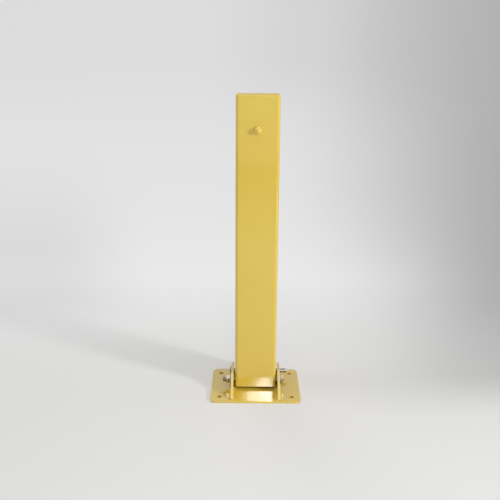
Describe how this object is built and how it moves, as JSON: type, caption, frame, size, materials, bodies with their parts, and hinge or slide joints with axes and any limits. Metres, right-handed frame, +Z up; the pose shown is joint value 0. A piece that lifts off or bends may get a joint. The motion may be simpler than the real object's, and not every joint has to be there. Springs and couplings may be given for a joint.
{
  "type": "fold-down bollard",
  "caption": "Square steel post on a drilled base plate, hinged at its foot on a hex bolt between two ears, with a pull-out lock pin for a padlock.",
  "frame": {"origin": "middle of the base plate's underside, which stands on the ground", "axes": "+Z up along the raised post, front of the post facing -Y, hinge bolt along X"},
  "size_m": [0.277, 0.225, 0.908],
  "materials": {
    "painted_steel": "glossy yellow powder coat over welded steel",
    "painted_welds": "fillet weld beads under the same yellow powder coat",
    "zinc_steel": "bright zinc-plated steel",
    "bare_steel": "turned steel, greased, not painted"
  },
  "bodies": {
    "base": {"base_plate": "painted_steel", "left_ear": "painted_steel", "right_ear": "painted_steel", "left_ear_welds": "painted_welds", "right_ear_welds": "painted_welds", "hinge_bolt": "zinc_steel", "hinge_nut": "zinc_steel", "hinge_washer_left": "zinc_steel", "hinge_washer_right": "zinc_steel", "hinge_spacer_left": "zinc_steel", "hinge_spacer_right": "zinc_steel"},
    "post": {"post_tube": "painted_steel", "hinge_sleeve": "bare_steel", "top_cap": "painted_steel", "rest_button": "painted_steel", "rest_button_washer": "zinc_steel", "rest_button_nut": "zinc_steel"},
    "pin": {"lock_pin": "zinc_steel"}
  },
  "joints": [
    {"name": "post_fold", "type": "hinge", "parent": "base", "child": "post", "pos_m": [0, -0.0145, 0.03206], "axis": [1, 0, 0], "range_deg": [0, 90]},
    {"name": "lock_pin_slide", "type": "slide", "parent": "base", "child": "pin", "axis": [-1, 0, 0], "range_m": [0, 0.18]}
  ]
}
